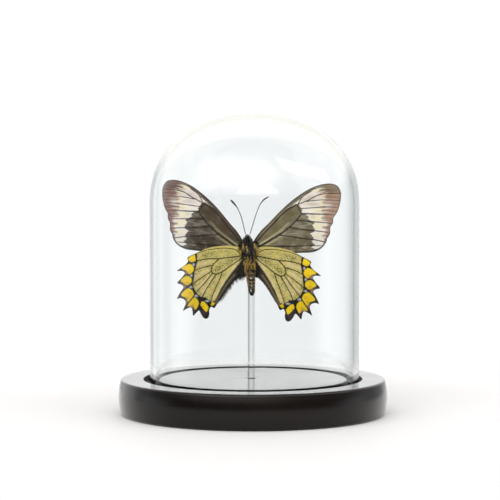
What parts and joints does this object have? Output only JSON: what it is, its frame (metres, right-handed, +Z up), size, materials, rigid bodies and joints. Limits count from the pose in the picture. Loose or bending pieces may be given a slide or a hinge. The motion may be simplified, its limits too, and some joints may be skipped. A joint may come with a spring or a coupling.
{
  "type": "insect in glass dome",
  "caption": "Dried swallowtail-type butterfly, underside showing, fixed upright to a clear rod under a glass dome on a round black turned wooden base.",
  "frame": {"origin": "centre of the base's flat underside, on the surface it stands on", "axes": "+Z up along the dome and the rod; the butterfly's underside faces -Y; +X to the right as seen from there"},
  "size_m": [0.128, 0.128, 0.143],
  "materials": {
    "black_wood": "satin",
    "clear_glass": "polished",
    "clear_acrylic": "polished",
    "body_fur": "matte",
    "forewing_scales": "matte",
    "hindwing_scales": "matte",
    "dark_horn": "satin"
  },
  "bodies": {
    "root": {"base": "black_wood", "glass_dome": "clear_glass", "rod": "clear_acrylic", "head": "body_fur", "thorax": "body_fur", "abdomen": "body_fur", "forewing_left": "forewing_scales", "forewing_right": "forewing_scales", "hindwing_left": "hindwing_scales", "hindwing_right": "hindwing_scales", "antenna_left": "dark_horn", "antenna_right": "dark_horn", "leg_front_left": "dark_horn", "leg_front_right": "dark_horn", "leg_middle_left": "dark_horn", "leg_middle_right": "dark_horn", "leg_hind_left": "dark_horn", "leg_hind_right": "dark_horn"}
  },
  "joints": []
}
